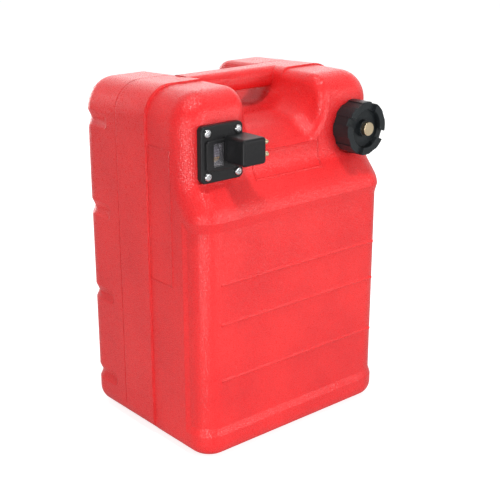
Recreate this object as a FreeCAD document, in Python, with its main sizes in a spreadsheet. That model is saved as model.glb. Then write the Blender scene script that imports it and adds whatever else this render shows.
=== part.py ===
# Portable outboard fuel tank, 24 litre class: moulded shell with a carry handle, gauge and
# withdrawal head, and a vented filler cap.  Parametric FreeCAD document, millimetres.
# Frame: +Z up, the head and the cap face -Y, origin on the ground under the middle of the box.
import FreeCAD, Part
import os
import re
import Sketcher

V = FreeCAD.Vector
doc = FreeCAD.newDocument("FuelTank")

# ---------------------------------------------------------------- driving dimensions
SIZES = {
    # shell, outside
    "body_width": 306, "body_depth": 240, "body_height": 442,
    "front_half": 103,          # crest plane to parting plane
    "parting_step": 2,          # the front half is this much smaller on sides and top
    "wall": 3,
    "front_setback": 29,        # crest plane to the upper front plane
    "shoulder_drop": 134.5, "slope_rise": 34,
    "crest_round": 34, "seat_round": 30, "front_corner_round": 30, "rear_corner_round": 24,
    "front_base_round": 18, "rear_base_round": 22, "top_side_round": 38,
    "rear_fall": 6,             # the top falls this much from the parting plane to the back
    "seam_behind": 60, "seam_width": 1.6, "seam_depth": 0.6,
    # recessed band round the front half, with three ribs
    "band_low": 27, "band_drop": 6.5, "band_wrap": 42, "band_depth": 3,
    "band_run_out": 6,          # the band's side ends climb back over this length
    "ramp_low": 12, "ramp_high": 15,
    "rib_low": 100, "rib_middle": 172, "rib_high": 222, "rib_width": 4, "rib_proud": 1.2,
    "rib_left": 122, "rib_right": 131,
    # finger grooves round the rear half
    "groove_height": 23, "groove_depth": 4, "groove_run": 57,
    "groove_low": 45.5, "groove_pitch": 114.5, "lead_out": 0.8,
    # raised outlines of the label fields on the sides and under the hand recess
    "frame_line": 1.6, "frame_proud": 0.7,
    "field_front": 57.5, "field_back": 100.5, "field_low": 210, "field_drop": 66,
    "plate_field_width": 107, "plate_field_drop": 79, "plate_field_height": 31.5,
    # hand recess and grip bar
    "recess_width": 118, "lip_drop": 76.6, "knee_drop": 56, "knee_run": 30, "floor_drop": 47,
    "flat_run": 12, "floor_round": 40, "recess_round": 28, "mouth_round": 13,
    "grip_behind": 137.75, "grip_depth": 38, "grip_height": 26, "grip_round": 11,
    "grip_drop": 0.5,
    # filler neck
    "neck_side": 41, "neck_drop": 69, "neck_root": 25.8, "neck_crest": 27.6, "neck_bore": 22,
    "neck_length": 14, "thread_pitch": 4, "thread_from": 3, "thread_foot": 2, "thread_tip": 1,
    "thread_bite": 0.4,         # a ridge's foot reaches this far into its wall
    # filler cap and its vent
    "cap_radius": 33.5, "cap_gap": 0.8, "cap_seal_thick": 2, "cap_top": 3, "recess_deep": 8,
    "rim_radius": 24, "thread_clear": 0.6, "notch_width": 10.5, "notch_deep": 5,
    "notch_angle": 22, "land_width": 11, "land_deep": 1.3, "rim_edge": 1,
    "cap_seal_in": 0.5, "cap_seal_out": 0.1,
    "hub_radius": 10.5, "hub_height": 6.5, "hub_inside": 7, "hub_floor": 3,
    "button_radius": 8.4, "button_proud": 5, "button_length": 10.5, "slide_clear": 0.3, "button_edge": 0.5,
    "stem_radius": 2.9, "stem_clear": 0.08, "stem_washer": 2, "washer_width": 3,
    "clip_thick": 1, "clip_width": 1.8, "stem_tail": 1.2, "vent_wire": 0.5,
    # gauge and withdrawal head
    "head_side": 48.75, "head_drop": 69, "opening_radius": 23, "gasket_thick": 2,
    "plate_width": 60.5, "plate_height": 66, "plate_thick": 6.5, "plate_round": 6,
    "plate_edge": 1.5, "gasket_in": 0.6, "gasket_over": 0.5,
    "block_out": 35,
    "screw_dx": 44, "screw_dz": 49.5, "insert_radius": 3.6, "insert_length": 8,
    "insert_clear": 0.05, "boss_radius": 6.5, "boss_length": 13, "seat_gap": 0.6,
    "spigot_radius": 21.5, "spigot_length": 9,
    "panel_left": 24.75, "panel_right": 17, "panel_low": 19, "panel_up": 16.5,
    "panel_thick": 3, "panel_round": 4, "panel_edge": 1.2,
    "outlet_left": 1.75, "outlet_width": 33.9, "outlet_low": 12, "outlet_height": 31,
    "outlet_round": 4, "outlet_edge": 3.4,
    "screw_radius": 2.45, "screw_hole": 2.8, "screw_head": 4.6, "screw_head_height": 3,
    "screw_crown": 1.8, "cross_length": 5.2, "cross_width": 1.1, "cross_depth": 1.6,
    "window_x": 7.9, "window_drop": 1.1, "window_width": 14.3, "window_height": 27.2,
    "window_sunk": 0.3, "lens_thick": 2, "lens_gap": 0.1, "lens_seal_thick": 1.2, "ledge": 1.4,
    # float gauge
    "pivot_inside": 4, "pin_radius": 1.5, "pin_length": 18, "pin_clear": 0.06,
    "drum_radius": 11, "drum_width": 8, "wire_radius": 1.25, "wire_offset": 7.5,
    "arm_length": 185, "float_radius": 14, "float_height": 44, "float_round": 3, "wire_tail": 1,
    "keeper_radius": 4, "keeper_thick": 1,
    # withdrawal: prongs, pickup tube
    "prong_pitch": 14.4, "prong_behind": 10, "prong_radius": 2.9, "prong_out": 10.5,
    "prong_shank": 3.4, "prong_in": 12, "collar_radius": 4.6, "collar_thick": 1.8,
    "ring_radius": 4.9, "ring_thick": 1.6, "prong_bore": 1.8, "tip_bore": 1.1,
    "tip_edge": 1.2, "tip_wall": 2.4, "pin_taper": 3, "pin_edge": 1.4, "prong_foot": 3,
    "ring_clear": 0.1, "ball_radius": 1.45, "ball_gap": 0.05, "check_coil": 1.2, "check_wire": 0.2,
    "passage": 2, "tube_x": 12, "tube_radius": 4, "tube_bore": 2.8,
    "tube_socket": 8, "tube_run": 16, "tube_bend": 20, "tube_end_z": 16,
    "strainer_radius": 8, "strainer_height": 26, "strainer_low": 7,
    "strainer_wall": 1.5, "strainer_neck": 6, "mesh_width": 1.6, "mesh_edge": 3,
}

# Named sizes worked out from the driving ones.
DERIVED = {
    "proud": "gasket_thick+plate_thick+block_out-front_setback",
    "crest_y": "(proud-body_depth)/2",
    "back_y": "(proud+body_depth)/2",
    "upper_y": "crest_y+front_setback",
    "parting_y": "crest_y+front_half",
    "slope_k": "(sqrt(front_setback^2+slope_rise^2)-slope_rise)/front_setback",
    "shoulder_z": "body_height-shoulder_drop",
    "band_high": "shoulder_z-band_drop",
    "lip_z": "body_height-lip_drop",
    "knee_z": "body_height-knee_drop",
    "floor_z": "body_height-floor_drop",
    "lip_slope": "(knee_z-lip_z)/knee_run",
    "neck_x": "body_width/2-neck_side",
    "neck_z": "body_height-neck_drop",
    "head_x": "body_width/2-head_side",
    "head_z": "body_height-head_drop",
    "grip_y": "crest_y+grip_behind",
    "grip_top": "body_height-grip_drop",
    "plate_y": "upper_y-gasket_thick",              # back of the head's plate
    "face_y": "plate_y-plate_thick",                # front of the plate
    "panel_y": "face_y-panel_thick",                # front of its raised panel
    "outlet_y": "face_y-block_out",                 # front of the outlet block
    "outlet_x": "outlet_left+outlet_width-head_x",  # outer end of the block
    "outlet_mid": "head_z-outlet_low+outlet_height/2",
    "prong_y": "outlet_y+prong_behind",
    "fuel_z": "outlet_mid-prong_pitch/2",
    "pin_z": "outlet_mid+prong_pitch/2",
    "pivot_x": "-head_x-window_x",
    "pivot_y": "upper_y+pivot_inside",
    "pivot_z": "head_z-window_drop",
    "lens_y": "panel_y+window_sunk",                # front of the lens
    "opening_y": "lens_y+lens_thick+lens_seal_thick",
    "pickup_x": "tube_x-head_x",
    "inner_top": "neck_length+cap_seal_thick",      # cap: heights along its axis
    "recess_floor": "inner_top+cap_top",
    "cap_front": "recess_floor+recess_deep",
    "hub_top": "recess_floor+hub_height",
    "hub_end": "inner_top-hub_inside",
    "button_back": "hub_top+button_proud-button_length",
    "stem_end": "hub_end-stem_washer-clip_thick-stem_tail",
}

sheet = doc.addObject("Spreadsheet::Sheet", "Sizes")
for row, (alias, value) in enumerate(SIZES.items(), 1):
    sheet.set("A%d" % row, str(value))
    sheet.setAlias("A%d" % row, alias)
doc.recompute()


def ex(text):
    """A formula in plain names, as an expression on the sheet."""
    def swap(found):
        name = found.group()
        if name in DERIVED:
            return "(" + ex(DERIVED[name]) + ")"
        return "Sizes." + name if name in SIZES else name
    return re.sub(r"[A-Za-z_]\w*", swap, str(text))


def num(text):
    """The present value of a formula, in millimetres."""
    return float(sheet.evalExpression(ex(text)))


def bind(thing, prop, text):
    thing.setExpression(prop, ex(text))


TURN = {
    "+Z": FreeCAD.Rotation(),
    "-Z": FreeCAD.Rotation(V(1, 0, 0), 180),
    "-Y": FreeCAD.Rotation(V(1, 0, 0), 90),
    "+Y": FreeCAD.Rotation(V(1, 0, 0), -90),
    "+X": FreeCAD.Rotation(V(0, 1, 0), 90),
    "YZ": FreeCAD.Rotation(V(1, 1, 1), 120),    # own x, y, z along Y, Z, X
}


def put(thing, x="0", y="0", z="0", axis="+Z"):
    """Places an object: its own +Z lies along axis and its origin is at x, y, z."""
    thing.Placement = FreeCAD.Placement(V(num(x), num(y), num(z)), TURN[axis])
    for letter, text in zip("xyz", (x, y, z)):
        bind(thing, "Placement.Base." + letter, text)
    return thing


def cylinder(name, radius, height, x="0", y="0", z="0", axis="+Z"):
    rod = doc.addObject("Part::Cylinder", name)
    bind(rod, "Radius", radius)
    bind(rod, "Height", height)
    return put(rod, x, y, z, axis)


def box(name, low, size):
    """Box from its low corner and its three sizes, all formulas."""
    slab = doc.addObject("Part::Box", name)
    for prop, text in zip(("Length", "Width", "Height"), size):
        bind(slab, prop, text)
    return put(slab, *low)


def union(name, *parts):
    joined = doc.addObject("Part::MultiFuse", name)
    joined.Shapes = list(parts)
    return joined


def cut(name, base, *tools):
    """Base less the tools; each tool has to take something away."""
    made = doc.addObject("Part::Cut", name)
    made.Base = base
    made.Tool = tools[0] if len(tools) == 1 else union(name + "_Tools", *tools)
    doc.recompute()
    if made.Shape.Volume > base.Shape.Volume - 1e-3:
        raise RuntimeError(name + ": nothing was cut")
    return made


def sketch(body, plane, corners):
    """Closed polygon on one of the body's own planes, every corner bound to the sheet."""
    face = [f for f in body.Origin.OriginFeatures if f.Role == plane][0]
    sk = body.newObject("Sketcher::SketchObject", body.Name + "_Sketch")
    sk.AttachmentSupport = [(face, "")]
    sk.MapMode = "FlatFace"
    spots = [V(num(a), num(b), 0) for a, b in corners]
    for k, spot in enumerate(spots):
        sk.addGeometry(Part.LineSegment(spot, spots[(k + 1) % len(spots)]), False)
    for k in range(len(spots)):
        sk.addConstraint(Sketcher.Constraint("Coincident", k, 2, (k + 1) % len(spots), 1))
    for k, pair in enumerate(corners):
        for kind, text in zip(("DistanceX", "DistanceY"), pair):
            c = sk.addConstraint(Sketcher.Constraint(kind, -1, 1, k, 1, num(text)))
            sk.setExpression("Constraints[%d]" % c, ex(text))
    return sk


def block(name, plane, corners, length, middle=False):
    """PartDesign body: a polygon padded by length, about its plane if middle is set."""
    body = doc.addObject("PartDesign::Body", name)
    pad = body.newObject("PartDesign::Pad", name + "_Pad")
    pad.Profile = sketch(body, plane, corners)
    pad.Midplane = middle
    bind(pad, "Length", length)
    doc.recompute()
    return body


def turned(name, corners, x="0", y="0", z="0", axis="+Z"):
    """PartDesign body: a (radius, height) polygon turned about its own Z."""
    body = doc.addObject("PartDesign::Body", name)
    lathe = body.newObject("PartDesign::Revolution", name + "_Turn")
    profile = sketch(body, "XZ_Plane", corners)
    lathe.Profile = profile
    lathe.ReferenceAxis = (profile, ["V_Axis"])
    lathe.Angle = 360
    doc.recompute()
    return put(body, x, y, z, axis)


def samples(edge):
    """Five points along an edge."""
    low, high = edge.FirstParameter, edge.LastParameter
    return [edge.valueAt(low + (high - low) * k / 4) for k in range(5)]


def runs_along(edge, axis):
    """True for a straight edge parallel to the axis letter."""
    if not isinstance(edge.Curve, (Part.Line, Part.LineSegment)):
        return False
    way = edge.tangentAt(edge.FirstParameter)
    return abs(abs(getattr(way, axis)) - 1) < 1e-6


def rounded(body, radius, test, label="Round"):
    """PartDesign fillet, with its radius bound, on every edge of the tip that passes the test."""
    doc.recompute()
    tip = body.Tip
    names = ["Edge%d" % k for k, e in enumerate(tip.Shape.Edges, 1) if test(e)]
    if not names:
        raise RuntimeError(body.Name + " " + label + ": no edge found")
    fillet = body.newObject("PartDesign::Fillet", body.Name + "_" + label)
    fillet.Base = (tip, names)
    bind(fillet, "Radius", radius)
    doc.recompute()
    if "Invalid" in fillet.State or "Error" in fillet.State:
        raise RuntimeError(body.Name + " " + label + ": fillet failed")
    return body


# ---------------------------------------------------------------- tank shell
def half(name, side, inset="0", recess=True):
    """One half of the moulding as a solid, inset all round; the recess is cut if asked for.

    The front half has the shouldered front; it is smaller by the parting step on its sides and
    top.  Convex rounds shrink with the inset and hollow ones grow.
    """
    front = side == "front"
    step = "parting_step" if front else "0"
    half_x = "(body_width/2-(%s)-%s)" % (inset, step)
    top = "(body_height-(%s)-%s)" % (inset, step)
    end_top = top if front else "(%s-rear_fall)" % top
    parting = "(parting_y+(%s))" % inset
    corner = side + "_corner_round-(%s)" % inset
    if front:
        end = "(upper_y+(%s))" % inset
        low = "(shoulder_z-slope_k*(%s))" % inset
        high = "(shoulder_z+slope_rise-slope_k*(%s))" % inset
        crest = "(crest_y+(%s))" % inset
        outline = [(crest, inset), (crest, low), (end, high), (end, top), (parting, top),
                   (parting, inset)]
    else:
        end = "(back_y-(%s))" % inset
        outline = [(parting, inset), (parting, top), (end, end_top), (end, inset)]
    body = block(name, "YZ_Plane", outline, "2*" + half_x, True)
    hx, zt, zb = num(half_x), num(end_top), num(inset)
    ye, yp = num(end), num(parting)

    def outer_end(edge):
        beyond = [(ye - p.y if front else p.y - ye) for p in samples(edge)]
        return min(beyond) > -0.05

    if front:
        rounded(body, "crest_round-(%s)" % inset,
                lambda e: runs_along(e, "x") and abs(samples(e)[2].z - num(low)) < 0.1, "Crest")
        rounded(body, "seat_round+(%s)" % inset,
                lambda e: runs_along(e, "x") and abs(samples(e)[2].z - num(high)) < 0.1, "Seat")
    rounded(body, "top_side_round-(%s)" % inset,
            lambda e: min(p.z for p in samples(e)) > zt - 0.1 and abs(samples(e)[2].x) > hx - 0.1,
            "TopSides")
    rounded(body, corner,
            lambda e: outer_end(e) and samples(e)[2].z > zb + 0.1
            and (not runs_along(e, "x") or samples(e)[2].z > zt - 0.1), "Corners")
    rounded(body, side + "_base_round-(%s)" % inset,
            lambda e: max(p.z for p in samples(e)) < zb + 0.05
            and any(abs(p.y - yp) > 0.1 for p in samples(e)), "Base")
    if not recess:
        return body

    # Hand recess: front to back through the top, with a floor that falls to both mouths.
    wall_x = "(recess_width/2+(%s))" % inset
    over = "body_height+10"
    if front:
        floor = [("upper_y-10", "lip_z-10*lip_slope-(%s)" % inset),
                 ("upper_y+knee_run", "knee_z-(%s)" % inset),
                 ("parting_y-flat_run", "floor_z-(%s)" % inset),
                 ("parting_y+20", "floor_z-(%s)" % inset),
                 ("parting_y+20", over), ("upper_y-10", over)]
    else:
        floor = [("back_y+10", "lip_z-10*lip_slope-(%s)" % inset),
                 ("back_y-knee_run", "knee_z-(%s)" % inset),
                 ("parting_y+flat_run+20", "floor_z-(%s)" % inset),
                 ("parting_y-20", "floor_z-(%s)" % inset),
                 ("parting_y-20", over), ("back_y+10", over)]
    before = Part.Compound(body.Tip.Shape.Faces)
    volume = body.Tip.Shape.Volume
    pocket = body.newObject("PartDesign::Pocket", name + "_Recess")
    pocket.Profile = sketch(body, "YZ_Plane", floor)
    pocket.Midplane = True
    bind(pocket, "Length", "2*" + wall_x)
    doc.recompute()
    if pocket.Shape.Volume > volume - 1:
        raise RuntimeError(name + ": the recess cut nothing")
    wx = num(wall_x)
    fz = num("floor_z-(%s)" % inset)
    kz = num("knee_z-(%s)" % inset)
    rounded(body, "floor_round-(%s)" % inset,
            lambda e: runs_along(e, "x") and abs(samples(e)[2].x) < 1
            and (abs(samples(e)[2].z - kz) < 0.1
                 or (abs(samples(e)[2].z - fz) < 0.1 and abs(samples(e)[2].y - yp) > 1)),
            "Floor")
    rounded(body, "recess_round+(%s)" % inset,
            lambda e: all(abs(abs(p.x) - wx) < 0.05 for p in samples(e))
            and max(p.z for p in samples(e)) < fz + 0.5 and not runs_along(e, "z"), "Bottom")
    rounded(body, "mouth_round-(%s)" % inset,
            lambda e: all(abs(p.x) < wx + 0.05 for p in samples(e))
            and min(p.z for p in samples(e)) > num("lip_z") - 20
            and any(abs(p.y - yp) > 0.1 for p in samples(e))
            and max(before.distToShape(Part.Vertex(p))[0] for p in samples(e)) < 0.01, "Mouth")
    return body


def waist(name, side, levels):
    """Ruled loft through outlines of one half, each given as its height and its depth inside.

    An outline follows the end face, both of its rounded corners and the sides.
    """
    front = side == "front"
    way = 1 if front else -1
    wires = []
    for height, depth in levels:
        z, depth = num(height), num(depth)
        wide = num("body_width/2-parting_step" if front else "body_width/2") - depth
        end = num("crest_y" if front else "back_y") + way * depth
        bend = num(side + "_corner_round") - depth
        mid = bend * (1 - 0.5 ** 0.5)
        inner = end + way * num("groove_run+band_wrap")
        left = Part.Arc(V(-wide, end + way * bend, z), V(-wide + mid, end + way * mid, z),
                        V(-wide + bend, end, z))
        right = Part.Arc(V(wide - bend, end, z), V(wide - mid, end + way * mid, z),
                         V(wide, end + way * bend, z))
        wires.append(Part.Wire([
            Part.makeLine(V(-wide, inner, z), V(-wide, end + way * bend, z)), left.toShape(),
            Part.makeLine(V(-wide + bend, end, z), V(wide - bend, end, z)), right.toShape(),
            Part.makeLine(V(wide, end + way * bend, z), V(wide, inner, z)),
            Part.makeLine(V(wide, inner, z), V(-wide, inner, z))]))
    loft = doc.addObject("Part::Feature", name)
    loft.Shape = Part.makeLoft(wires, True, True)
    return loft


def band(name, inset):
    """Cutter of the recessed band: a block round the front half less a ramped waist.

    The block's side ends slope, so that the band runs out on the sides.
    """
    core = waist(name + "_Waist", "front", [
        ("band_low", "(%s)-lead_out" % inset), ("band_low+ramp_low", "(%s)+band_depth" % inset),
        ("band_high-ramp_high", "(%s)+band_depth" % inset), ("band_high", "(%s)-lead_out" % inset)])
    end = "(crest_y+band_wrap+(%s))" % inset
    side = "(body_width/2-(%s))" % inset
    floor = "(%s-2*band_depth)" % side
    near, far = end + "-2*band_run_out", end + "+4*band_run_out"
    beyond = "(%s+4*band_depth)" % side
    around = block(name + "_Around", "XY_Plane", [
        ("-" + beyond, "crest_y-10"), (beyond, "crest_y-10"), (beyond, far), (floor, near),
        ("-" + floor, near), ("-" + beyond, far)], "band_high-band_low")
    return cut(name, put(around, z="band_low"), core)


def grooves(name, inset):
    """Cutter of the four round-ended V grooves that wrap the rear half."""
    radius = "(groove_height/2+(%s))" % inset
    start = "(back_y-groove_run-(%s)+%s)" % (inset, radius)
    cutters = []
    for k in range(4):
        level = "(groove_low+%d*groove_pitch)" % k
        bar = union("%s_Bar%d" % (name, k),
                    cylinder("%s_End%d" % (name, k), radius, "body_width+20",
                             "-body_width/2-10", start, level, "+X"),
                    box("%s_Run%d" % (name, k), ("-body_width/2-10", start, "%s-%s" % (level, radius)),
                        ("body_width+20", "groove_run+20", "2*" + radius)))
        core = waist("%s_Core%d" % (name, k), "rear", [
            ("%s-%s" % (level, radius), "(%s)-lead_out" % inset),
            (level, "(%s)+groove_depth" % inset),
            ("%s+%s" % (level, radius), "(%s)-lead_out" % inset)])
        cutters.append(cut("%s_%d" % (name, k), bar, core))
    return union(name, *cutters)


def seam(name):
    """Cutter of the shallow line round the sides and the top of the rear half."""
    ring = box(name, ("-body_width/2-10", "parting_y+seam_behind-seam_width/2", "rear_base_round"),
               ("body_width+20", "seam_width", "body_height"))
    return cut(name + "_Ring", ring, half(name + "_Core", "rear", "seam_depth", recess=False))


def grip(name, inset):
    """Bar across the hand recess."""
    near = "grip_y-grip_depth/2+(%s)" % inset
    far = "grip_y+grip_depth/2-(%s)" % inset
    low = "grip_top-grip_height+(%s)" % inset
    high = "grip_top-(%s)" % inset
    bar = block(name, "YZ_Plane", [(near, low), (far, low), (far, high), (near, high)],
                "recess_width+2*mouth_round", True)
    return rounded(bar, "grip_round-(%s)" % inset, lambda e: runs_along(e, "x"))


def moulding(name, inset):
    """The whole form of the moulding, inset all round."""
    front = cut(name + "_FrontBanded", half(name + "_Front", "front", inset),
                band(name + "_Band", inset))
    rear = cut(name + "_RearGrooved", half(name + "_Rear", "rear", inset),
               grooves(name + "_Grooves", inset))
    return front, rear, grip(name + "_Grip", inset)


def outline(name, low, size, line):
    """Raised rectangular outline: a thin box less a smaller one, open along X."""
    outer = box(name + "_Outer", low, size)
    inner = box(name + "_Hole", ("%s-1" % low[0], "%s+%s" % (low[1], line), "%s+%s" % (low[2], line)),
                ("%s+2" % size[0], "%s-2*%s" % (size[1], line), "%s-2*%s" % (size[2], line)))
    return cut(name, outer, inner)


front, rear, bar = moulding("Out", "0")
outside = [front, cut("Out_RearSeamed", rear, seam("Seam")), bar]
rib_radius = "((rib_width/2)^2+rib_proud^2)/(2*rib_proud)"
for level in ("rib_low", "rib_middle", "rib_high"):
    outside.append(cylinder("Rib_" + level, rib_radius, "rib_left+rib_right", "-rib_left",
                            "crest_y+band_depth-rib_proud+" + rib_radius, level, "+X"))
for mark, x in (("L", "-body_width/2+parting_step-frame_proud"), ("R", "body_width/2-parting_step-1")):
    outside.append(outline("Field" + mark, (x, "crest_y+field_front", "field_low"),
                           ("frame_proud+1", "field_back-field_front",
                            "body_height-field_drop-field_low"), "frame_line"))

# The front field's outline follows the shoulder: a picture-frame prism, kept to a thin skin.
low, high = "body_height-plate_field_drop-plate_field_height", "body_height-plate_field_drop"
prism = cut("PlateFieldPrism",
            box("PlateFieldOuter", ("-plate_field_width/2", "crest_y", low),
                ("plate_field_width", "front_setback+wall/2", "plate_field_height")),
            box("PlateFieldHole", ("-plate_field_width/2+frame_line", "crest_y-1", low + "+frame_line"),
                ("plate_field_width-2*frame_line", "front_setback+wall",
                 "plate_field_height-2*frame_line")))
skin = half("PlateFieldSkin", "front", "-frame_proud", recess=False)
plate_field = doc.addObject("Part::MultiCommon", "PlateField")
plate_field.Shapes = [prism, skin]
outside.append(plate_field)
outside.append(cylinder("Neck", "neck_root", "neck_length+wall", "neck_x", "upper_y+wall",
                        "neck_z", "-Y"))
body_out = union("BodyOut", *outside)

# Flat seats under the head's plate and under the cap, where the shoulder rises to meet them.
head_seat = box("HeadSeat", ("-head_x-plate_width/2-seat_gap", "upper_y-15",
                             "head_z-plate_height/2-seat_gap"),
                ("plate_width+2*seat_gap", "15", "plate_height+2*seat_gap"))
cap_seat = cut("CapSeat", cylinder("CapSeatDisc", "cap_radius+2*seat_gap", "15", "neck_x", "upper_y",
                                   "neck_z", "-Y"),
               cylinder("CapSeatCore", "neck_root", "15", "neck_x", "upper_y", "neck_z", "-Y"))

# Inside: the same form one wall smaller, less the pads behind the seats and the insert bosses.
head_pad = box("HeadPad", ("-head_x-plate_width/2-wall", "upper_y-20", "head_z-plate_height/2-wall"),
               ("plate_width+2*wall", "20+wall", "plate_height+2*wall"))
cap_pad = cylinder("CapPad", "cap_radius+wall", "20+wall", "neck_x", "upper_y+wall", "neck_z", "-Y")
SCREWS = [("-head_x+%d*screw_dx/2" % sx, "head_z+%d*screw_dz/2" % sz)
          for sx, sz in ((-1, -1), (1, -1), (1, 1), (-1, 1))]
bosses, insert_holes = [], []
for k, (x, z) in enumerate(SCREWS):
    bosses.append(cylinder("Boss%d" % k, "boss_radius", "boss_length+20", x, "upper_y-20", z, "+Y"))
    insert_holes.append(cylinder("InsertHole%d" % k, "insert_radius", "insert_length+5", x,
                                 "upper_y-5", z, "+Y"))
    insert_holes.append(cylinder("TipHole%d" % k, "screw_hole", "boss_length-2", x, "upper_y",
                                 z, "+Y"))
inside = cut("BodyIn", union("CavityForm", *moulding("In", "wall")), head_pad, cap_pad, *bosses)


def thread(name, foot, tip, first, height, sign):
    """Thread ridge: a helix of the pitch, foot wide at radius foot and tip wide at radius tip."""
    ridge = doc.addObject("PartDesign::Body", name)
    profile = sketch(ridge, "XZ_Plane", [
        ("%s-%s" % (foot, sign), "%s-thread_foot/2" % first),
        (tip, "%s-thread_tip/2" % first), (tip, "%s+thread_tip/2" % first),
        ("%s-%s" % (foot, sign), "%s+thread_foot/2" % first)])
    helix = ridge.newObject("PartDesign::AdditiveHelix", name + "_Helix")
    helix.Profile = profile
    helix.ReferenceAxis = (profile, ["V_Axis"])
    helix.Mode = 0
    bind(helix, "Pitch", "thread_pitch")
    bind(helix, "Height", height)
    doc.recompute()
    return ridge


neck_thread = put(thread("NeckThread", "neck_root", "neck_crest", "thread_from", "2*thread_pitch",
                         "thread_bite"), "neck_x", "upper_y", "neck_z", "-Y")
shell = cut("Shell", union("BodyThreaded", cut("BodySeated", body_out, inside, head_seat, cap_seat),
                           neck_thread),
            cylinder("FillWay", "neck_bore", "neck_length+wall+2", "neck_x", "upper_y+wall+1",
                     "neck_z", "-Y"),
            cylinder("HeadWay", "opening_radius", "wall+21", "-head_x", "upper_y-20", "head_z", "+Y"),
            *insert_holes)
nodes = {"tank_shell": shell}


# ---------------------------------------------------------------- filler cap and vent
def cuts_round(body, label, corners, width, count):
    """Pocket of the given width across the XZ plane, repeated evenly round Z."""
    doc.recompute()
    volume = body.Tip.Shape.Volume
    slot = body.newObject("PartDesign::Pocket", body.Name + "_" + label)
    slot.Profile = sketch(body, "XZ_Plane", corners)
    slot.Midplane = True
    bind(slot, "Length", width)
    doc.recompute()
    ring = body.newObject("PartDesign::PolarPattern", body.Name + "_" + label + "Ring")
    ring.Originals = [slot]
    ring.Axis = (slot.Profile[0], ["V_Axis"])
    ring.Angle = 360
    ring.Occurrences = count
    body.Tip = ring
    doc.recompute()
    if ring.Shape.Volume > volume - (volume - slot.Shape.Volume) * (count - 0.5):
        raise RuntimeError(body.Name + " " + label + ": the pattern cut too little")


cap_bore = "(neck_crest+thread_clear)"
cap = turned("CapBody", [
    (cap_bore, "cap_gap"), ("cap_radius", "cap_gap"), ("cap_radius", "cap_front"),
    ("rim_radius", "cap_front"), ("rim_radius", "recess_floor"), ("hub_radius", "recess_floor"),
    ("hub_radius", "hub_top"), ("button_radius+slide_clear", "hub_top"),
    ("button_radius+slide_clear", "hub_end+hub_floor"),
    ("stem_radius+stem_clear", "hub_end+hub_floor"), ("stem_radius+stem_clear", "hub_end"),
    ("hub_radius", "hub_end"), ("hub_radius", "inner_top"), (cap_bore, "inner_top")])
rounded(cap, "rim_edge", lambda e: all(abs(p.z - num("cap_front")) < 0.01 for p in samples(e)), "Rim")
cuts_round(cap, "Land", [("cap_radius-land_deep", "0"), ("cap_radius+5", "0"),
                         ("cap_radius+5", "cap_front+1"), ("cap_radius-land_deep", "cap_front+1")],
           "land_width", 8)
cuts_round(cap, "Notch", [("rim_radius-1", "cap_front-notch_deep"),
                          ("cap_radius+5", "cap_front-notch_deep"),
                          ("cap_radius+5", "cap_front+1"), ("rim_radius-1", "cap_front+1")],
           "notch_width", 4)
cap.Placement = FreeCAD.Placement(V(), FreeCAD.Rotation(V(0, 0, 1), -num("notch_angle")))
cap_thread = thread("CapThread", cap_bore, "neck_root+thread_clear",
                    "thread_from+thread_pitch/2", "1.5*thread_pitch", "(-thread_bite)")
filler_cap = put(union("CapJoined", cap, cap_thread), "neck_x", "upper_y", "neck_z", "-Y")
nodes["filler_cap"] = filler_cap


def on_cap(body):
    """Moves a part drawn about the cap's axis on to the neck."""
    return put(body, "neck_x", "upper_y", "neck_z", "-Y")


nodes["cap_seal"] = on_cap(turned("CapSeal", [
    ("neck_bore+cap_seal_in", "neck_length"), ("neck_crest+cap_seal_out", "neck_length"),
    ("neck_crest+cap_seal_out", "inner_top"), ("neck_bore+cap_seal_in", "inner_top")]))
stem = turned("VentStem", [
    ("0", "stem_end"), ("stem_radius", "stem_end"), ("stem_radius", "button_back"),
    ("button_radius", "button_back"), ("button_radius", "hub_top+button_proud"),
    ("0", "hub_top+button_proud")])
rounded(stem, "button_edge", lambda e: all(abs(p.z - num("hub_top+button_proud")) < 0.01
                                           for p in samples(e)), "Edge")
nodes["vent_stem"] = on_cap(stem)
nodes["vent_seal"] = on_cap(turned("VentSeal", [
    ("stem_radius", "hub_end-stem_washer"), ("stem_radius+washer_width", "hub_end-stem_washer"),
    ("stem_radius+washer_width", "hub_end"), ("stem_radius", "hub_end")]))
nodes["vent_retainer"] = on_cap(turned("VentRetainer", [
    ("stem_radius", "hub_end-stem_washer-clip_thick"),
    ("stem_radius+clip_width", "hub_end-stem_washer-clip_thick"),
    ("stem_radius+clip_width", "hub_end-stem_washer"), ("stem_radius", "hub_end-stem_washer")]))


def coil(name, radius, wire, low, high, turns):
    """Compression spring between two heights on its own Z: round wire swept along a helix."""
    wire, low, high = num(wire), num(low) + num(wire), num(high) - num(wire)
    spine = Part.makeHelix((high - low) / turns, high - low, num(radius))
    spine.translate(V(0, 0, low))
    ring = Part.Wire(Part.makeCircle(wire, V(num(radius), 0, low), V(0, 1, 0)))
    spring = doc.addObject("Part::Feature", name)
    spring.Shape = Part.Wire(spine).makePipeShell([ring], True, True)
    return spring


nodes["vent_spring"] = on_cap(coil("VentSpring", "(stem_radius+button_radius)/2", "vent_wire",
                                   "hub_end+hub_floor", "button_back", 3))


# ---------------------------------------------------------------- gauge and withdrawal head
def slab(name, left, right, low, high, thick, back, corner, edge=None):
    """Plate facing -Y, placed from the head's centre, with round corners and a softened front."""
    body = block(name, "XZ_Plane", [("-(%s)" % left, "-(%s)" % low), (right, "-(%s)" % low),
                                    (right, high), ("-(%s)" % left, high)], thick)
    rounded(body, corner, lambda e: runs_along(e, "y"), "Corners")
    if edge:
        out = min(v.Y for v in body.Tip.Shape.Vertexes)
        rounded(body, edge, lambda e: all(abs(p.y - out) < 0.01 for p in samples(e)), "Front")
    return put(body, "-head_x", back, "head_z")


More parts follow.
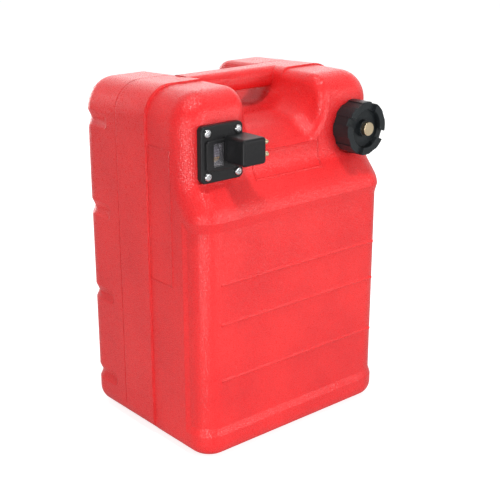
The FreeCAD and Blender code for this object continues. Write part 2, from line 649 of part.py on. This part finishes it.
def at_screws(name, radius, length, start):
    """Four cylinders along +Y on the screw pattern."""
    return [cylinder("%s%d" % (name, k), radius, length, x, start, z, "+Y")
            for k, (x, z) in enumerate(SCREWS)]


nodes["gauge_gasket"] = cut(
    "Gasket", slab("GasketPlate", "plate_width/2-gasket_in", "plate_width/2-gasket_in",
                   "plate_height/2-gasket_in", "plate_height/2-gasket_in", "gasket_thick", "upper_y",
                   "plate_round"),
    cylinder("GasketHole", "opening_radius-gasket_over", "gasket_thick+2", "-head_x", "plate_y-1", "head_z",
             "+Y"),
    *at_screws("GasketScrewHole", "screw_hole", "gasket_thick+2", "plate_y-1"))

outlet = block("OutletBlock", "XZ_Plane",
               [("outlet_left", "-outlet_low"), ("outlet_left+outlet_width", "-outlet_low"),
                ("outlet_left+outlet_width", "outlet_height-outlet_low"),
                ("outlet_left", "outlet_height-outlet_low")], "block_out+1")
rounded(outlet, "outlet_round", lambda e: runs_along(e, "y"), "Corners")
rounded(outlet, "outlet_edge",
        lambda e: all(p.y < -num("block_out") for p in samples(e)), "Front")
put(outlet, "-head_x", "face_y+1", "head_z")
head_solid = union(
    "HeadSolid",
    slab("Plate", "plate_width/2", "plate_width/2", "plate_height/2", "plate_height/2",
         "plate_thick", "plate_y", "plate_round", "plate_edge"),
    slab("Panel", "panel_left", "panel_right", "panel_low", "panel_up", "panel_thick+1",
         "face_y+1", "panel_round", "panel_edge"),
    outlet,
    cylinder("Spigot", "spigot_radius", "spigot_length+gasket_thick+1", "-head_x",
             "upper_y+spigot_length", "head_z", "-Y"))
well_x = "(window_width/2-ledge)"
well_z = "(window_height/2-ledge)"
housing = cut(
    "Housing", head_solid,
    box("LensWell", ("pivot_x-window_width/2", "panel_y-1", "pivot_z-window_height/2"),
        ("window_width", "1+window_sunk+lens_thick+lens_seal_thick", "window_height")),
    box("DrumWell", ("pivot_x-" + well_x, "panel_y", "pivot_z-" + well_z),
        ("2*" + well_x, "upper_y+spigot_length+1-panel_y", "2*" + well_z)),
    cylinder("PinHole", "pin_radius", "spigot_radius+pin_length/2", "pivot_x-spigot_radius",
             "pivot_y", "pivot_z", "+X"),
    cylinder("FuelSeat", "prong_shank", "prong_in", "outlet_x-prong_in", "prong_y", "fuel_z", "+X"),
    cylinder("PinSeat", "prong_shank", "prong_in", "outlet_x-prong_in", "prong_y", "pin_z", "+X"),
    cylinder("FuelRing", "ring_radius", "ring_thick+1", "outlet_x-ring_thick", "prong_y", "fuel_z",
             "+X"),
    cylinder("PinRing", "ring_radius", "ring_thick+1", "outlet_x-ring_thick", "prong_y", "pin_z",
             "+X"),
    cylinder("CrossPassage", "passage", "outlet_x-prong_in-pickup_x+1", "pickup_x", "prong_y",
             "fuel_z", "+X"),
    cylinder("LongPassage", "passage", "upper_y+spigot_length-prong_y", "pickup_x", "prong_y",
             "fuel_z", "+Y"),
    cylinder("TubeSocket", "tube_radius", "tube_socket+1", "pickup_x",
             "upper_y+spigot_length-tube_socket", "fuel_z", "+Y"),
    *at_screws("HeadScrewHole", "screw_hole", "plate_thick+2", "face_y-1"))
nodes["gauge_housing"] = housing


def pane(name, front, thick):
    """Plate that fits the window's well."""
    return box(name, ("pivot_x-window_width/2+lens_gap", front,
                      "pivot_z-window_height/2+lens_gap"),
               ("window_width-2*lens_gap", thick, "window_height-2*lens_gap"))


nodes["gauge_lens"] = pane("Lens", "lens_y", "lens_thick")
nodes["lens_seal"] = cut(
    "LensSeal", pane("LensSealPane", "lens_y+lens_thick", "lens_seal_thick"),
    box("LensSealHole", ("pivot_x-" + well_x, "lens_y", "pivot_z-" + well_z),
        ("2*" + well_x, "lens_thick+lens_seal_thick+1", "2*" + well_z)))


def group(name, parts):
    """Several separate solids that share a node."""
    several = doc.addObject("Part::Compound", name)
    several.Links = parts
    return several


screws, nuts = [], []
reach = "(plate_thick+gasket_thick+insert_length)"
for k, (x, z) in enumerate(SCREWS):
    pan = turned("Pan%d" % k, [("0", "-" + reach), ("screw_radius", "-" + reach), ("screw_radius", "0"),
                               ("screw_head", "0"), ("screw_head", "screw_head_height"),
                               ("0", "screw_head_height")])
    rounded(pan, "screw_crown",
            lambda e: all(abs(p.z - num("screw_head_height")) < 0.01 for p in samples(e)), "Crown")
    for plane in ("XZ_Plane", "YZ_Plane"):
        solid = pan.Tip.Shape.Volume
        slot = pan.newObject("PartDesign::Pocket", "Pan%d_Slot%s" % (k, plane[0]))
        slot.Profile = sketch(pan, plane, [
            ("-cross_length/2", "screw_head_height-cross_depth"),
            ("cross_length/2", "screw_head_height-cross_depth"),
            ("cross_length/2", "screw_head_height+1"), ("-cross_length/2", "screw_head_height+1")])
        slot.Midplane = True
        bind(slot, "Length", "cross_width")
        doc.recompute()
        if slot.Shape.Volume > solid - 0.1:
            raise RuntimeError(slot.Name + ": nothing was cut")
    screws.append(put(pan, x, "face_y", z, "-Y"))
    nut = turned("Insert%d" % k, [("screw_radius+insert_clear", "0"), ("insert_radius", "0"),
                                  ("insert_radius", "insert_length"),
                                  ("screw_radius+insert_clear", "insert_length")])
    nuts.append(put(nut, x, "upper_y", z, "+Y"))
nodes["gauge_screws"] = group("Screws", screws)
nodes["insert_nuts"] = group("Inserts", nuts)


# ---------------------------------------------------------------- float gauge
arm_y = "(pivot_y+wire_offset)"
drum = cut("Drum", cylinder("DrumDisc", "drum_radius", "drum_width", "pivot_x-drum_width/2", "pivot_y",
                            "pivot_z", "+X"),
           cylinder("DrumBore", "pin_radius+pin_clear", "drum_width+2", "pivot_x-drum_width/2-1",
                    "pivot_y", "pivot_z", "+X"),
           cylinder("DrumWireHole", "wire_radius", "drum_radius+5", "pivot_x", arm_y,
                    "pivot_z-drum_radius", "+Z"))
nodes["indicator_drum"] = drum
nodes["pivot_pin"] = cylinder("PivotPin", "pin_radius", "pin_length", "pivot_x-pin_length/2",
                              "pivot_y", "pivot_z", "+X")
nodes["float_wire"] = cylinder("FloatWire", "wire_radius", "arm_length+5", "pivot_x", arm_y,
                               "pivot_z-arm_length", "+Z")
buoy = turned("Buoy", [("wire_radius", "0"), ("float_radius", "0"), ("float_radius", "float_height"),
                       ("wire_radius", "float_height")])
rounded(buoy, "float_round", lambda e: all(abs((p.x ** 2 + p.y ** 2) ** 0.5 - num("float_radius")) < 0.01
                                           for p in samples(e)) and not runs_along(e, "z"), "Ends")
nodes["float"] = put(buoy, "pivot_x", arm_y, "pivot_z-arm_length+wire_tail+keeper_thick")
nodes["float_keeper"] = put(turned("Keeper", [
    ("wire_radius", "0"), ("keeper_radius", "0"), ("keeper_radius", "keeper_thick"),
    ("wire_radius", "keeper_thick")]), "pivot_x", arm_y, "pivot_z-arm_length+wire_tail")


# ---------------------------------------------------------------- withdrawal parts
fuel_prong = turned("FuelProng", [
    ("passage/2", "-prong_in"), ("prong_shank", "-prong_in"), ("prong_shank", "-ring_thick"),
    ("prong_radius", "-ring_thick"), ("prong_radius", "0"), ("collar_radius", "0"),
    ("collar_radius", "collar_thick"), ("prong_radius", "collar_thick"),
    ("prong_radius", "prong_out-tip_edge"), ("prong_radius-tip_edge", "prong_out"),
    ("tip_bore", "prong_out"), ("tip_bore", "prong_out-tip_wall"),
    ("prong_bore", "prong_out-tip_wall"), ("prong_bore", "prong_foot-prong_in"),
    ("passage/2", "prong_foot-prong_in")])
nodes["fuel_prong"] = put(fuel_prong, "outlet_x", "prong_y", "fuel_z", "+X")
locating_pin = turned("LocatingPin", [
    ("0", "-prong_in"), ("prong_shank", "-prong_in"), ("prong_shank", "-ring_thick"),
    ("prong_radius", "-ring_thick"), ("prong_radius", "0"), ("collar_radius", "0"),
    ("collar_radius", "collar_thick"), ("prong_radius", "collar_thick"),
    ("prong_radius", "prong_out-pin_taper"), ("prong_radius-pin_edge", "prong_out"), ("0", "prong_out")])
nodes["locating_pin"] = put(locating_pin, "outlet_x", "prong_y", "pin_z", "+X")
rings = []
for label, z in (("Fuel", "fuel_z"), ("Pin", "pin_z")):
    ring = turned(label + "Washer", [
        ("prong_radius+ring_clear", "-ring_thick"), ("ring_radius-ring_clear", "-ring_thick"),
        ("ring_radius-ring_clear", "0"), ("prong_radius+ring_clear", "0")])
    rings.append(put(ring, "outlet_x", "prong_y", z, "+X"))
nodes["prong_o_rings"] = group("ProngRings", rings)
seat = "(prong_out-tip_wall-sqrt(ball_radius^2-tip_bore^2)-ball_gap)"
ball = doc.addObject("Part::Sphere", "Ball")
bind(ball, "Radius", "ball_radius")
nodes["check_ball"] = put(ball, "outlet_x+" + seat, "prong_y", "fuel_z", "+X")
nodes["check_spring"] = put(coil("CheckSpring", "check_coil", "check_wire", "prong_foot-prong_in",
                                seat + "-ball_radius+2*check_wire", 10),
                            "outlet_x", "prong_y", "fuel_z", "+X")


def bent(name, radius):
    """Quarter-bent rod: back from the socket, round a bend and down."""
    start = "(upper_y+spigot_length-tube_socket)"
    bend_y = "(upper_y+tube_run)"
    along = cylinder(name + "_Along", radius, "%s-%s" % (bend_y, start), "pickup_x", start, "fuel_z", "+Y")
    turn = doc.addObject("Part::Torus", name + "_Bend")
    bind(turn, "Radius1", "tube_bend")
    bind(turn, "Radius2", radius)
    turn.Angle3 = 90
    put(turn, "pickup_x", bend_y, "fuel_z-tube_bend", "YZ")
    down = cylinder(name + "_Down", radius, "fuel_z-tube_bend-tube_end_z", "pickup_x",
                    bend_y + "+tube_bend", "tube_end_z", "+Z")
    return union(name, along, turn, down)


nodes["pickup_tube"] = cut("PickupTube", bent("TubeOut", "tube_radius"), bent("TubeBore", "tube_bore"))
strainer = turned("Strainer", [
    ("0", "0"), ("strainer_radius", "0"), ("strainer_radius", "strainer_height"),
    ("tube_radius", "strainer_height"), ("tube_radius", "strainer_height-strainer_neck"),
    ("strainer_radius-strainer_wall", "strainer_height-strainer_neck"),
    ("strainer_radius-strainer_wall", "strainer_wall"), ("0", "strainer_wall")])
slot_low, slot_high = "mesh_edge", "strainer_height-strainer_neck-mesh_edge+1"
slot_in, slot_out = "strainer_radius-2*strainer_wall", "strainer_radius+2"
cuts_round(strainer, "Slot", [(slot_in, slot_low), (slot_out, slot_low), (slot_out, slot_high),
                              (slot_in, slot_high)], "mesh_width", 8)
nodes["pickup_strainer"] = put(strainer, "pickup_x", "upper_y+tube_run+tube_bend", "strainer_low")

# ---------------------------------------------------------------- checks and export
doc.recompute()
for thing in doc.Objects:
    if "Invalid" in thing.State or "Error" in thing.State:
        raise RuntimeError(thing.Name + " failed to build")
os.makedirs("parts", exist_ok=True)
for name, thing in nodes.items():
    thing.Label = name
    if thing.Shape.isNull() or not thing.Shape.isValid() or not thing.Shape.Solids:
        raise RuntimeError(name + " has no valid shape")
    thing.Shape.exportStep("parts/" + name + ".step")
    b = thing.Shape.BoundBox
    print("%-16s %d %10.1f  x %.1f %.1f  y %.1f %.1f  z %.1f %.1f" % (
        name, len(thing.Shape.Solids), thing.Shape.Volume, b.XMin, b.XMax, b.YMin, b.YMax, b.ZMin, b.ZMax))
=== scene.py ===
# Portable outboard fuel tank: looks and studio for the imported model.
import bpy
import math
import numpy as np
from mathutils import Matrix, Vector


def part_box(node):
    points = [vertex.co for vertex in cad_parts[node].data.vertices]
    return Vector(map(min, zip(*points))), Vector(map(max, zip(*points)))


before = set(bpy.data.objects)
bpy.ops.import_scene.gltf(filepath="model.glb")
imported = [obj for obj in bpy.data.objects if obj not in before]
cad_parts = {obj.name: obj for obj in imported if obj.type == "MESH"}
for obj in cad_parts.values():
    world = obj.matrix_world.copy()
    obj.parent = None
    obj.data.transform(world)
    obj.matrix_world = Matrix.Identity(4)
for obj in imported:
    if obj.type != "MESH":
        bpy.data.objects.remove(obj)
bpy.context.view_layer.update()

# ---- Tank shell: one hollow blow-moulded body of red polyethylene, with its handle, its
# filler neck and its bosses moulded in.  The mould is textured with a fine leather grain.
SHELL_RED = (0.90, 0.031, 0.032, 1)
SHELL_DUSK = (0.72, 0.021, 0.025, 1)        # the same plastic where the wall is a little thinner
GRAIN_CELL = 0.0023                          # metres across one cell of the leather grain
GRAIN_WARP = 0.0011                          # metres that the cells are pushed out of line
CELL_BORDER = 0.32                           # the relief rises this far in from a cell's edge, in cells
PIT_SHARE, FINE_SHARE = 0.15, 0.5            # of pits in the relief, of fine noise in the colour
GLOSS_SHIFT = 0.12                           # rougher by this much on a cell's middle


def node(tree, kind, place, **settings):
    """Adds a shader node to the tree at (column, row) and sets its options and inputs."""
    made = tree.nodes.new(kind)
    made.location = (place[0] * 200, -place[1] * 170)
    for key, value in settings.items():
        if key in made.inputs:
            made.inputs[key].default_value = value
        else:
            setattr(made, key, value)
    return made


def shader_group(name, inputs, outputs):
    """Empty shader node group; inputs give (name, socket kind, value), outputs (name, kind)."""
    group = bpy.data.node_groups.new(name, "ShaderNodeTree")
    for label, kind, value in inputs:
        group.interface.new_socket(label, in_out="INPUT", socket_type=kind).default_value = value
    for label, kind in outputs:
        group.interface.new_socket(label, in_out="OUTPUT", socket_type=kind)
    return group, node(group, "NodeGroupInput", (-6, 0)), node(group, "NodeGroupOutput", (6, 0))


def moulded_plastic_group():
    """Leather grain: the distance to the cell borders of a warped Voronoi pattern, with a slow
    noise that shifts the colour and the gloss, and rounded edges from a bevelled normal."""
    group, given, out = shader_group(
        "moulded_plastic",
        [("Colour", "NodeSocketColor", (1, 0, 0, 1)), ("Shade", "NodeSocketColor", (0.5, 0, 0, 1)),
         ("Cell", "NodeSocketFloat", 600.0), ("Grain Depth", "NodeSocketFloat", 0.0001),
         ("Gloss", "NodeSocketFloat", 0.4), ("Edge", "NodeSocketFloat", 0.001)],
        [("Colour", "NodeSocketColor"), ("Roughness", "NodeSocketFloat"),
         ("Normal", "NodeSocketVector")])
    link = group.links.new
    where = node(group, "ShaderNodeTexCoord", (-6, 2))
    drift = node(group, "ShaderNodeTexNoise", (-5, 3), Scale=260.0, Detail=2.0)
    warp = node(group, "ShaderNodeVectorMath", (-4, 3), operation="MULTIPLY_ADD")
    warp.inputs[1].default_value = (GRAIN_WARP, GRAIN_WARP, GRAIN_WARP)
    cells = node(group, "ShaderNodeTexVoronoi", (-3, 3), feature="DISTANCE_TO_EDGE")
    skin = node(group, "ShaderNodeMapRange", (-2, 3))
    skin.inputs["From Max"].default_value = CELL_BORDER
    pits = node(group, "ShaderNodeTexNoise", (-3, 5), Scale=1400.0, Detail=3.0)
    relief = node(group, "ShaderNodeMath", (-1, 3), operation="MULTIPLY_ADD")
    relief.inputs[1].default_value = PIT_SHARE
    edge = node(group, "ShaderNodeBevel", (-1, 6), samples=8)
    bump = node(group, "ShaderNodeBump", (1, 3), Strength=1.0)
    slow = node(group, "ShaderNodeTexNoise", (-4, 0), Scale=9.0, Detail=4.0, Roughness=0.6)
    fine = node(group, "ShaderNodeTexNoise", (-4, 1), Scale=420.0, Detail=3.0)
    both = node(group, "ShaderNodeMath", (-3, 0), operation="MULTIPLY_ADD")
    both.inputs[1].default_value = FINE_SHARE
    tone = node(group, "ShaderNodeMapRange", (-2, 0))
    tone.inputs["From Min"].default_value, tone.inputs["From Max"].default_value = 0.55, 1.0
    mix = node(group, "ShaderNodeMix", (0, 0), data_type="RGBA")
    gloss = node(group, "ShaderNodeMath", (1, 1), operation="MULTIPLY_ADD")
    gloss.inputs[1].default_value = GLOSS_SHIFT
    link(where.outputs["Object"], drift.inputs["Vector"])
    link(drift.outputs["Color"], warp.inputs[0])
    link(where.outputs["Object"], warp.inputs[2])
    link(warp.outputs[0], cells.inputs["Vector"])
    link(given.outputs["Cell"], cells.inputs["Scale"])
    link(cells.outputs["Distance"], skin.inputs["Value"])
    link(where.outputs["Object"], pits.inputs["Vector"])
    link(pits.outputs["Fac"], relief.inputs[0])
    link(skin.outputs["Result"], relief.inputs[2])
    link(relief.outputs[0], bump.inputs["Height"])
    link(given.outputs["Grain Depth"], bump.inputs["Distance"])
    link(given.outputs["Edge"], edge.inputs["Radius"])
    link(edge.outputs["Normal"], bump.inputs["Normal"])
    link(where.outputs["Object"], slow.inputs["Vector"])
    link(where.outputs["Object"], fine.inputs["Vector"])
    link(fine.outputs["Fac"], both.inputs[0])
    link(slow.outputs["Fac"], both.inputs[2])
    link(both.outputs[0], tone.inputs["Value"])
    link(tone.outputs["Result"], mix.inputs["Factor"])
    link(given.outputs["Colour"], mix.inputs["A"])
    link(given.outputs["Shade"], mix.inputs["B"])
    link(skin.outputs["Result"], gloss.inputs[0])
    link(given.outputs["Gloss"], gloss.inputs[2])
    link(mix.outputs["Result"], out.inputs["Colour"])
    link(gloss.outputs[0], out.inputs["Roughness"])
    link(bump.outputs["Normal"], out.inputs["Normal"])
    return group


MOULDED = moulded_plastic_group()


def moulded(name, colour, shade, cell, depth, gloss, edge, shine=0.22):
    """Moulded plastic or rubber: a Principled shader fed by the grain group."""
    finish = bpy.data.materials.new(name)
    finish.use_nodes = True
    tree = finish.node_tree
    shader = tree.nodes["Principled BSDF"]
    grain = node(tree, "ShaderNodeGroup", (-2, 0), node_tree=MOULDED)
    grain.inputs["Colour"].default_value = colour
    grain.inputs["Shade"].default_value = shade
    grain.inputs["Cell"].default_value = 1 / cell
    grain.inputs["Grain Depth"].default_value = depth
    grain.inputs["Gloss"].default_value = gloss
    grain.inputs["Edge"].default_value = edge
    tree.links.new(grain.outputs["Colour"], shader.inputs["Base Color"])
    tree.links.new(grain.outputs["Roughness"], shader.inputs["Roughness"])
    tree.links.new(grain.outputs["Normal"], shader.inputs["Normal"])
    shader.inputs["Specular IOR Level"].default_value = shine
    return finish


def wear(part, finish):
    """Gives a piece its finish in every material slot."""
    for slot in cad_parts[part].material_slots:
        slot.material = finish


wear("tank_shell", moulded("red_polyethylene", SHELL_RED, SHELL_DUSK, cell=GRAIN_CELL,
                           depth=0.00018, gloss=0.25, edge=0.0022, shine=0.40))


# ---- Gauge and withdrawal head: a black nylon moulding on a rubber gasket, with a clear
# window over the gauge drum.  Four stainless pan-head screws hold it to brass inserts.
BLACK_NYLON = moulded("black_nylon", (0.010, 0.010, 0.011, 1), (0.016, 0.016, 0.017, 1),
                      cell=0.0009, depth=0.00003, gloss=0.30, edge=0.0006)
BLACK_RUBBER = moulded("black_rubber", (0.012, 0.012, 0.012, 1), (0.022, 0.021, 0.020, 1),
                       cell=0.0007, depth=0.00004, gloss=0.62, edge=0.0003)
wear("gauge_housing", BLACK_NYLON)
wear("gauge_gasket", BLACK_RUBBER)
wear("lens_seal", BLACK_RUBBER)


def bright_metal(name, colour, shade, rough, turned_lines):
    """Turned or rolled metal: fine noise shifts the gloss and raises a faint bump, and a slower noise
    mixes the colour.
    """
    finish = bpy.data.materials.new(name)
    finish.use_nodes = True
    tree = finish.node_tree
    shader = tree.nodes["Principled BSDF"]
    shader.inputs["Metallic"].default_value = 1
    where = node(tree, "ShaderNodeTexCoord", (-5, 0))
    lines = node(tree, "ShaderNodeTexNoise", (-4, 1), Scale=turned_lines, Detail=4.0, Roughness=0.7)
    stain = node(tree, "ShaderNodeTexNoise", (-4, 0), Scale=90.0, Detail=3.0)
    mix = node(tree, "ShaderNodeMix", (-2, 0), data_type="RGBA")
    mix.inputs["A"].default_value = colour
    mix.inputs["B"].default_value = shade
    gloss = node(tree, "ShaderNodeMath", (-2, 1), operation="MULTIPLY_ADD")
    gloss.inputs[1].default_value = 0.25
    gloss.inputs[2].default_value = rough - 0.1
    bump = node(tree, "ShaderNodeBump", (-2, 2), Strength=0.6, Distance=0.00003)
    tree.links.new(where.outputs["Object"], lines.inputs["Vector"])
    tree.links.new(where.outputs["Object"], stain.inputs["Vector"])
    tree.links.new(stain.outputs["Fac"], mix.inputs["Factor"])
    tree.links.new(mix.outputs["Result"], shader.inputs["Base Color"])
    tree.links.new(lines.outputs["Fac"], gloss.inputs[0])
    tree.links.new(gloss.outputs[0], shader.inputs["Roughness"])
    tree.links.new(lines.outputs["Fac"], bump.inputs["Height"])
    tree.links.new(bump.outputs["Normal"], shader.inputs["Normal"])
    return finish


STAINLESS = bright_metal("stainless", (0.72, 0.72, 0.73, 1), (0.55, 0.55, 0.57, 1),
                         rough=0.24, turned_lines=1800.0)
BRASS = bright_metal("brass", (0.72, 0.60, 0.42, 1), (0.58, 0.46, 0.29, 1),
                     rough=0.30, turned_lines=2400.0)
for part in ("gauge_screws", "pivot_pin", "float_wire", "float_keeper", "vent_spring",
             "vent_retainer", "check_spring", "check_ball"):
    wear(part, STAINLESS)
for part in ("insert_nuts", "fuel_prong", "locating_pin"):
    wear(part, BRASS)
wear("prong_o_rings", BLACK_RUBBER)

# ---- Gauge window: a clear polycarbonate pane, faintly smoked and scuffed, glued in its seat.
pane = bpy.data.materials.new("clear_window")
pane.use_nodes = True
tree = pane.node_tree
glass = tree.nodes["Principled BSDF"]
glass.inputs["Transmission Weight"].default_value = 0.92
glass.inputs["IOR"].default_value = 1.5
scuff = node(tree, "ShaderNodeTexNoise", (-4, 1), Scale=700.0, Detail=4.0)
place = node(tree, "ShaderNodeTexCoord", (-5, 1))
haze = node(tree, "ShaderNodeMapRange", (-3, 1))
haze.inputs["To Min"].default_value, haze.inputs["To Max"].default_value = 0.04, 0.22
smoke = node(tree, "ShaderNodeMix", (-3, 0), data_type="RGBA")
smoke.inputs["A"].default_value = (0.80, 0.78, 0.82, 1)
smoke.inputs["B"].default_value = (0.66, 0.63, 0.70, 1)
tree.links.new(place.outputs["Object"], scuff.inputs["Vector"])
tree.links.new(scuff.outputs["Fac"], haze.inputs["Value"])
tree.links.new(haze.outputs["Result"], glass.inputs["Roughness"])
tree.links.new(scuff.outputs["Fac"], smoke.inputs["Factor"])
tree.links.new(smoke.outputs["Result"], glass.inputs["Base Color"])
wear("gauge_lens", pane)

# ---- Indicator drum: white acetal, turned by the float arm; an amber band marks low fuel.
LOW_FUEL = 0.36                              # share of the drum's height that is amber
RULE_STEP, RULE_HALF = 0.0014, 0.00022       # half the rules' spacing, and half a rule's width
low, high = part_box("indicator_drum")
drum = bpy.data.materials.new("drum_acetal")
drum.use_nodes = True
tree = drum.node_tree
acetal = tree.nodes["Principled BSDF"]
place = node(tree, "ShaderNodeTexCoord", (-6, 0))
parts = node(tree, "ShaderNodeSeparateXYZ", (-5, 0))
level = node(tree, "ShaderNodeMath", (-4, 0), operation="LESS_THAN")
level.inputs[1].default_value = low[2] + LOW_FUEL * (high[2] - low[2])
rule = node(tree, "ShaderNodeMath", (-4, 2), operation="PINGPONG")
rule.inputs[1].default_value = RULE_STEP
mark = node(tree, "ShaderNodeMath", (-3, 2), operation="LESS_THAN")
mark.inputs[1].default_value = RULE_HALF
grime = node(tree, "ShaderNodeTexNoise", (-4, 1), Scale=300.0, Detail=3.0)
white = node(tree, "ShaderNodeMix", (-3, 1), data_type="RGBA")
white.inputs["A"].default_value = (0.34, 0.33, 0.36, 1)
white.inputs["B"].default_value = (0.26, 0.25, 0.28, 1)
amber = node(tree, "ShaderNodeMix", (-2, 0), data_type="RGBA")
amber.inputs["B"].default_value = (0.72, 0.42, 0.07, 1)
lines = node(tree, "ShaderNodeMix", (-1, 0), data_type="RGBA")
lines.inputs["B"].default_value = (0.03, 0.03, 0.03, 1)
dull = node(tree, "ShaderNodeMapRange", (-2, 2))
dull.inputs["To Min"].default_value, dull.inputs["To Max"].default_value = 0.4, 0.6
tree.links.new(place.outputs["Object"], parts.inputs[0])
tree.links.new(place.outputs["Object"], grime.inputs["Vector"])
tree.links.new(parts.outputs["Z"], level.inputs[0])
tree.links.new(parts.outputs["Z"], rule.inputs[0])
tree.links.new(rule.outputs[0], mark.inputs[0])
tree.links.new(grime.outputs["Fac"], white.inputs["Factor"])
tree.links.new(white.outputs["Result"], amber.inputs["A"])
tree.links.new(level.outputs[0], amber.inputs["Factor"])
tree.links.new(amber.outputs["Result"], lines.inputs["A"])
tree.links.new(mark.outputs[0], lines.inputs["Factor"])
tree.links.new(lines.outputs["Result"], acetal.inputs["Base Color"])
tree.links.new(grime.outputs["Fac"], dull.inputs["Value"])
tree.links.new(dull.outputs["Result"], acetal.inputs["Roughness"])
wear("indicator_drum", drum)

# ---- Pickup and float, inside the shell: black nylon tube, white slotted strainer and a
# float of closed-cell foam on a wire.
wear("pickup_tube", BLACK_NYLON)
wear("pickup_strainer", moulded("white_nylon", (0.72, 0.71, 0.68, 1), (0.60, 0.59, 0.55, 1),
                                cell=0.0010, depth=0.00003, gloss=0.42, edge=0.0003))
wear("float", moulded("float_foam", (0.30, 0.25, 0.17, 1), (0.20, 0.16, 0.11, 1),
                      cell=0.0006, depth=0.00025, gloss=0.75, edge=0.0005))

# ---- Filler cap: black polypropylene, fluted and castellated for grip, with a rubber washer
# inside.  A turned brass stem in its middle opens the vent when pressed.
wear("filler_cap", moulded("black_cap", (0.012, 0.015, 0.017, 1), (0.020, 0.024, 0.026, 1),
                           cell=0.0011, depth=0.00005, gloss=0.34, edge=0.0006))
wear("cap_seal", BLACK_RUBBER)
wear("vent_seal", BLACK_RUBBER)
wear("vent_stem", BRASS)

# ---- Studio: a white sweep and world, the camera, and soft boxes round the table.
floor_mesh = bpy.data.meshes.new("studio_floor")
floor_mesh.from_pydata([(-8, -8, 0), (8, -8, 0), (8, 8, 0), (-8, 8, 0)], [], [(0, 1, 2, 3)])
floor = bpy.data.objects.new("studio_floor", floor_mesh)
bpy.context.scene.collection.objects.link(floor)
FLOOR_GLOW, FLOOR_IN_GLOSS = 0.80, 0.10     # for the camera, and its share in reflections


def seen_directly(tree):
    """One where a ray comes from the camera or through glass, and one for a reflected ray."""
    path = node(tree, "ShaderNodeLightPath", (-6, 0))
    either = node(tree, "ShaderNodeMath", (-5, 0), operation="MAXIMUM")
    tree.links.new(path.outputs["Is Camera Ray"], either.inputs[0])
    tree.links.new(path.outputs["Is Transmission Ray"], either.inputs[1])
    return either.outputs[0], path.outputs["Is Glossy Ray"]


paper = bpy.data.materials.new("studio_paper")
paper.use_nodes = True
tree = paper.node_tree
sheet = tree.nodes["Principled BSDF"]
sheet.inputs["Base Color"].default_value = (0.55, 0.55, 0.55, 1)
sheet.inputs["Roughness"].default_value = 0.9
sheet.inputs["Emission Color"].default_value = (1, 1, 1, 1)
direct, mirrored = seen_directly(tree)
share = node(tree, "ShaderNodeMath", (-4, 2), operation="MULTIPLY_ADD")
share.inputs[1].default_value = FLOOR_IN_GLOSS
glow = node(tree, "ShaderNodeMath", (-2, 2), operation="MULTIPLY")
glow.inputs[1].default_value = FLOOR_GLOW
tree.links.new(mirrored, share.inputs[0])
tree.links.new(direct, share.inputs[2])
tree.links.new(share.outputs[0], glow.inputs[0])
tree.links.new(glow.outputs[0], sheet.inputs["Emission Strength"])
floor.data.materials.append(paper)

CAMERA_DOWN, CAMERA_ROUND = 18.8, -40.6      # degrees below level, and turned about the vertical
view = bpy.data.cameras.new("camera")
view.lens = 75.5
view.sensor_width = 36
camera = bpy.data.objects.new("camera", view)
camera.location = (-0.832, -0.9889, 0.650)
camera.rotation_euler = (math.radians(90 - CAMERA_DOWN), 0, math.radians(CAMERA_ROUND))
bpy.context.scene.collection.objects.link(camera)
bpy.context.scene.camera = camera


def soft_box(name, place, aim, wide, high, power):
    """Rectangular area lamp at a place, turned to face the aim point."""
    lamp = bpy.data.lights.new(name, "AREA")
    lamp.shape = "RECTANGLE"
    lamp.size, lamp.size_y, lamp.energy = wide, high, power
    box = bpy.data.objects.new(name, lamp)
    box.location = place
    way = np.array(aim) - np.array(place)
    way = way / np.linalg.norm(way)
    box.rotation_euler = (math.acos(-way[2]), 0, math.atan2(way[0], -way[1]) + math.pi)
    bpy.context.scene.collection.objects.link(box)


soft_box("key_box", (0.75, -2.35, 0.65), (0, 0, 0.22), 1.4, 0.9, 27.5)
soft_box("low_box", (-1.30, -0.95, 0.27), (-0.13, -0.09, 0.30), 0.28, 0.5, 11.5)
soft_box("over_box", (-0.25, -0.35, 2.3), (0, 0, 0.4), 0.25, 0.25, 20)
soft_box("rear_box", (0.10, 2.4, 0.40), (0, 0, 0.22), 0.9, 0.7, 18)
soft_box("back_box", (1.20, 1.45, 1.10), (0, 0, 0.42), 1.9, 1.2, 8)
SKY_LIGHT, ROOM_LIGHT = 0.35, 0.15       # on the object, and as mirrored from behind the camera
world = bpy.data.worlds.new("studio")
bpy.context.scene.world = world
world.use_nodes = True
sky = world.node_tree
way = node(sky, "ShaderNodeTexCoord", (-5, 3))
ahead = node(sky, "ShaderNodeVectorMath", (-4, 3), operation="DOT_PRODUCT")
ahead.inputs[1].default_value = (0.65, 0.76, 0)      # from the camera towards the backdrop
backdrop = node(sky, "ShaderNodeMapRange", (-3, 3))
backdrop.inputs["From Min"].default_value, backdrop.inputs["From Max"].default_value = -0.1, 0.5
backdrop.inputs["To Min"].default_value, backdrop.inputs["To Max"].default_value = ROOM_LIGHT, 1.0
in_gloss = node(sky, "ShaderNodeMix", (-2, 1), data_type="FLOAT")
in_gloss.inputs["A"].default_value = SKY_LIGHT
strength = node(sky, "ShaderNodeMix", (-1, 0), data_type="FLOAT")
strength.inputs["B"].default_value = 1.0
direct, mirrored = seen_directly(sky)
sky.links.new(way.outputs["Generated"], ahead.inputs[0])
sky.links.new(ahead.outputs["Value"], backdrop.inputs["Value"])
sky.links.new(backdrop.outputs["Result"], in_gloss.inputs["B"])
sky.links.new(mirrored, in_gloss.inputs["Factor"])
sky.links.new(in_gloss.outputs["Result"], strength.inputs["A"])
sky.links.new(direct, strength.inputs["Factor"])
sky.links.new(strength.outputs["Result"], sky.nodes["Background"].inputs["Strength"])
sky.nodes["Background"].inputs["Color"].default_value = (1, 1, 1, 1)
bpy.context.scene.view_settings.view_transform = "Standard"
